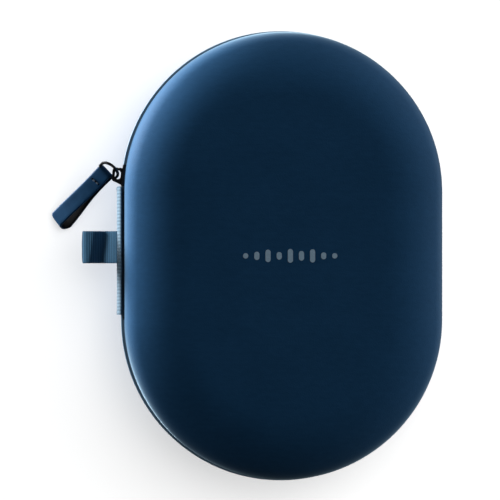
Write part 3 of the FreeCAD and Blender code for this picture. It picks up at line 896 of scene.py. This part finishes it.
def make_loop():
    """Grosgrain folded in two: it dips in the middle and rises again to its open fold."""
    low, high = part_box("webbing_loop")
    width = high.y - low.y
    centre_y = (low.y + high.y) / 2
    thick = 1.0 * MM
    rib_depth = 0.045 * MM
    fray = 0.06 * MM
    across = 18
    shares = [2 * j / across - 1 for j in range(across + 1)]
    lines = [loop_path(low.x, high.x, thick, share) for share in shares]
    rows = len(lines[0])
    points = []
    for k in range(rows):
        rib = rib_depth * math.cos(2 * math.pi * k / 3)
        for side in (1, -1):
            for share, line in list(zip(shares, lines))[::side]:
                x, z, nx, nz = line[k]
                y = centre_y + share * width / 2 + fray * math.sin(9.0 * share)
                half = thick / 2 * (1 - 0.35 * abs(share) ** 10) + rib
                points.append((x + nx * side * half, y, z + nz * side * half))
    loop = strip_mesh("webbing_fold", points, rows, MATERIAL["webbing"])
    dress(loop, "loop", "webbing", "webbing_loop")
    return loop


def loop_path(tip, root, thick, share):
    """The webbing's middle line with its normals, at one place across it from -1 to 1."""
    half = thick / 2
    bend = 1.35 * MM
    dip = 2.9 * MM
    rise = 3.1 * MM
    slack = 0.04 * MM
    fold_x = tip + bend + half + 0.2 * MM * share ** 2
    valley = 0.48 - 0.07 * share
    steps = 66
    fold_steps = 18
    top = []
    for k in range(steps + 1):
        way = k / steps
        x = root + (fold_x - root) * way
        lift = rise * smooth((way - valley) / 0.42) - dip * smooth(way / valley)
        gap = half + slack + (bend - half) * smooth((way - 0.30) / 0.7)
        top.append((x, MIDDLE + lift, gap))
    over = [(x, middle + gap) for x, middle, gap in top]
    under = [(x, middle - gap) for x, middle, gap in reversed(top)]
    centre = top[-1][1]
    reach = top[-1][2]
    turns = [math.pi * k / fold_steps for k in range(1, fold_steps)]
    fold = [(fold_x - reach * math.sin(turn), centre + reach * math.cos(turn)) for turn in turns]
    line = over + fold + under
    path = []
    for k, (x, z) in enumerate(line):
        ahead = line[min(k + 1, len(line) - 1)]
        behind = line[max(k - 1, 0)]
        tangent = Vector((ahead[0] - behind[0], ahead[1] - behind[1])).normalized()
        path.append((x, z, tangent.y, -tangent.x))
    return path


def stitch(start, end, normal, radius=0.19 * MM):
    """One thread stitch: a short tube that dips at both ends."""
    steps = 8
    points = []
    for k in range(steps + 1):
        share = k / steps
        swell = 1 - (2 * share - 1) ** 4
        points.append(start.lerp(end, share) + normal * (swell * 0.16 - 0.08) * MM)
    return tube("stitch", points, radius, MATERIAL["thread"], 6)


def make_loop_stitches():
    """A row of thread above and below the loop's root."""
    low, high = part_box("loop_stitches")
    towards_tape = 0.75 * MM
    x = high.x + towards_tape
    pieces = []
    count = 9
    pitch = (high.y - low.y) / count
    for z, normal in ((high.z, Vector((0, 0, 1))), (low.z, Vector((0, 0, -1)))):
        for k in range(count):
            y = low.y + pitch * k
            pieces.append(stitch(Vector((x, y + 0.2 * pitch, z)), Vector((x, y + 0.85 * pitch, z)),
                                 normal))
    dress(join("loop_thread", pieces), "loop", "thread", "loop_stitches")


def make_bar_tacks():
    """A zigzag of thread at each end of the hinge tape."""
    low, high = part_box("hinge_bar_tacks")
    tape_low, tape_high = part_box("hinge_tape")
    width = 1.2 * MM
    inset = 0.6 * MM
    threads = 6
    pieces = []
    for y in (tape_low.y + TAPE_SHIFT + inset, tape_high.y + TAPE_SHIFT - inset - width):
        for k in range(threads):
            z = low.z + (high.z - low.z) * (k + 0.5) / threads
            x = tape_low.x - tape_swell((z - tape_low.z) / (tape_high.z - tape_low.z))
            start = Vector((x, y, z))
            end = Vector((x, y + width, z + 0.2 * MM))
            pieces.append(stitch(start, end, Vector((-1, 0, 0)), 0.14 * MM))
    dress(join("hinge_tack_thread", pieces), "base", "thread", "hinge_bar_tacks")


# ------------------------------------------------------------ pull strap

def strap_axes():
    """Directions along the strap as it droops, out of its upper face, and across it."""
    droop = math.radians(35.1)
    heading = Vector((-BAR_AXIS.y, BAR_AXIS.x, 0.0))
    along = heading * math.cos(droop) - Vector((0, 0, math.sin(droop)))
    return along, BAR_AXIS.cross(along), BAR_AXIS


def make_strap():
    """A leather strip wrapped round the bar, stitched, then left open as a long drop."""
    along, up, side = strap_axes()
    width = 7.4 * MM
    thick = 1.0 * MM
    length = 35.6 * MM
    past_bar = 0.7 * MM
    line = strap_line(length, thick)
    across = 12
    verts = []
    for s, lift, ns, nl, under in line:
        twist = math.radians(12.0 + 12.0 * smooth(s / length))
        turned_side = side * math.cos(twist) - up * math.sin(twist)
        turned_up = up * math.cos(twist) + side * math.sin(twist)
        # The lower run slides out from under the upper one.
        slid_out = under * (0.8 + 1.9 * smooth((s - 8.0 * MM) / length))
        slip = (1.0 + 1.1 * s / length - slid_out) * MM
        centre = RING_BAR + along * (s + past_bar) + turned_up * lift + turned_side * slip
        normal = along * ns + turned_up * nl
        for face_side in (1, -1):
            for j in range(across + 1):
                share = (j / across - 0.5) * face_side
                pinch = thick / 2 * (1 - 0.3 * abs(2 * share) ** 8)
                verts.append(centre + turned_side * share * width + normal * face_side * pinch)
    ring = 2 * (across + 1)
    faces = grid_faces(len(line), ring, True, True)
    strap = new_piece("pull_strap_leather", verts, faces, MATERIAL["strap_face"])
    strap.data.materials.append(MATERIAL["strap_back"])
    strap.data.materials.append(MATERIAL["strap_edge"])
    paint_strap_back(strap, ring, across)
    dress(strap, "strap", "strap_leather", "pull_strap")
    make_strap_stitches(along, up, side, thick)
    return strap


def strap_line(length, thick):
    """The strip's closed middle line: (along, lift, both parts of its normal, under).

    Under is 1 on the lower run, 0 on the upper one, and between them it changes round the bends.
    """
    head = 0.85 * MM + thick / 2
    tail = 2.2 * MM
    neck = 6.5 * MM
    half = thick / 2 + 0.03 * MM
    steps = 72
    tail_steps = 20
    head_steps = 14
    top = []
    for k in range(steps + 1):
        s = length * k / steps
        if s < neck:
            lift = head + (half - head) * smooth(s / neck)
        else:
            share = (s - neck) / (length - neck)
            lift = half + (tail - half) * smooth(share * 1.2) ** 1.2
        top.append((s, lift, 0.0))
    turns = [k / tail_steps for k in range(1, tail_steps)]
    far = [(length + tail * math.sin(math.pi * turn), tail * math.cos(math.pi * turn), turn)
           for turn in turns]
    under = [(s, -lift, 1.0) for s, lift, _ in reversed(top)]
    turns = [k / head_steps for k in range(1, head_steps)]
    near = [(-head * math.sin(math.pi * turn), -head * math.cos(math.pi * turn), 1 - turn)
            for turn in turns]
    points = top + far + under + near
    line = []
    for k, (s, lift, below) in enumerate(points):
        ahead = points[(k + 1) % len(points)]
        behind = points[k - 1]
        tangent = Vector((ahead[0] - behind[0], ahead[1] - behind[1])).normalized()
        line.append((s, lift, -tangent.y, tangent.x, below))
    return line


def paint_strap_back(strap, ring, across):
    """The strip's inner face and its cut edges are black, bar the near edge's painted line."""
    for polygon in strap.data.polygons:
        column = polygon.index % ring
        if column >= across:
            polygon.material_index = 2 if column == ring - 1 else 1


def make_strap_stitches(along, up, side, thick):
    """Two pale stitches on each face of the strap, between three holes painted black as shade."""
    pieces = []
    holes = []
    count = 2
    width = 4.0 * MM
    from_bar = 7.2 * MM
    off_middle = 1.2 * MM
    thread = 0.38 * MM
    hole_radius = 0.42 * MM
    hole_reach = side * 0.45 * MM
    sunk = 0.10 * MM
    for normal in (up, -up):
        centre = RING_BAR + along * from_bar + normal * (thick + 0.05 * MM) + side * off_middle
        for k in range(count):
            start = centre + side * width * ((k + 0.33) / count - 0.5)
            end = centre + side * width * ((k + 0.67) / count - 0.5)
            pieces.append(stitch(start, end, normal, thread))
        # Each hole is a small black blob of back leather, a little proud of the face: painted shade
        # for the stitch hole.
        for k in range(count + 1):
            hole = centre + side * width * (k / count - 0.5) - normal * sunk
            holes.append(tube("hole", [hole - hole_reach, hole, hole + hole_reach], hole_radius,
                              MATERIAL["strap_back"]))
    dress(join("strap_thread", pieces), "strap", "thread", "strap_stitches")
    dress(join("strap_stitch_holes", holes), "strap", "strap_leather")


# ------------------------------------------------------------ inside

def make_island():
    """A block of foam under lining, with rounded rims and a hollow for the lead."""
    low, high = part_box("cable_island")
    outer = high.x
    half = high.y - outer
    wall = 4.0 * MM
    inner = outer - wall
    rim = wall / 2
    floor = 8.0 * MM
    corner = 2.5 * MM
    section = [(outer, low.z), (outer, low.z + 4 * MM),
               (outer, high.z - 6 * MM), (outer, high.z - rim)]
    section += arc((outer - rim, high.z - rim), rim, 0, 180, 12)
    section += [(inner, floor + 4 * MM), (inner, floor + corner)]
    section += arc((inner - corner, floor + corner), corner, 0, -90, 6)
    section += [(inner * 0.5, floor), (0.0, floor), (0.0, low.z)]
    side_steps = 12
    end_steps = 32
    stations = []
    for sign, first in ((1, 0.0), (-1, math.pi)):
        stations += [(sign * half * (2 * k / side_steps - 1), first) for k in range(side_steps)]
        stations += [(sign * half, first + math.pi * k / end_steps) for k in range(end_steps)]
    block = sweep("cable_island_pad", section, stations, MATERIAL["lining"])
    sharpen(block, 60)
    dress(block, "base", "lining", "cable_island")


def make_pocket():
    """A mesh panel pinned round the lid's inside, and its gathered elastic edge."""
    low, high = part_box("lid_pocket_mesh")
    band_low, band_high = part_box("pocket_elastic")
    radius = high.x
    mouth = high.y
    middle = (low.z + high.z) / 2
    across = 64
    rows = 44
    verts = []
    for k in range(rows + 1):
        share = k / rows
        y = mouth + (low.y - mouth) * (1 - (1 - share) ** 1.6)
        reach = radius
        if y < -HALF_STRAIGHT:
            reach = math.sqrt(max(0.0, radius ** 2 - (y + HALF_STRAIGHT) ** 2))
        for j in range(across + 1):
            side = 2 * j / across - 1
            verts.append((reach * side, y, middle))
    faces = grid_faces(rows + 1, across + 1, False, False)
    net = new_piece("lid_pocket_net", verts, faces, MATERIAL["mesh"])
    slacken(net, radius, middle)
    solid = net.modifiers.new("thickness", "SOLIDIFY")
    solid.thickness = 0.35 * MM
    solid.offset = 0.0
    dress(net, "lid", "mesh", "lid_pocket_mesh")
    make_elastic(radius, band_low, band_high)


def slacken(net, radius, middle):
    """The net hangs a little slack and rippled between its sewn edges."""
    slack = 1.6 * MM
    for vertex in net.data.vertices:
        x, y, _ = vertex.co
        end = math.hypot(x, min(0.0, y + HALF_STRAIGHT))
        hold = max(0.0, 1 - (end / radius) ** 2)
        ripple = noise.noise(Vector((x * 40, y * 14, 0.3))) * 0.5
        vertex.co.z = middle + hold * (0.6 + ripple) * slack


def make_elastic(radius, low, high):
    """A ribbed elastic band with small gathers along it."""
    middle = (low.z + high.z) / 2
    thick = 1.0 * MM
    gather_depth = 0.16 * MM
    gather_pitch = 3.1 * MM
    along = 220
    section = rounded_box(0.0, -thick / 2, high.y - low.y, thick / 2, 0.4 * MM)
    verts = []
    for k in range(along + 1):
        x = radius * (2 * k / along - 1)
        gather = gather_depth * math.sin(2 * math.pi * x / gather_pitch)
        for out, lift in section:
            verts.append((x, low.y + out, middle + lift + gather))
    band = strip_mesh("pocket_band", verts, along + 1, MATERIAL["elastic"])
    dress(band, "lid", "elastic", "pocket_elastic")


# ------------------------------------------------------------ assembly

make_camera()
make_stage()
skins = make_shells()
edges = make_edges()
make_zip()
tape = make_hinge_tape()
make_hinge_strip()
light_webbing(make_loop())
make_loop_stitches()
make_bar_tacks()
strap = make_strap()
light_rim(skins + edges + [tape, strap])
make_island()
make_pocket()
for metal_node in ("slider_body", "slider_bridge"):
    finish_node(metal_node, "metal", 0.15 * MM)
finish_node("pull_ring", "metal", thicken=0.12 * MM)
finish_node("zip_end_stops", "metal", 0.1 * MM)
finish_node("lid_mark", "ink")
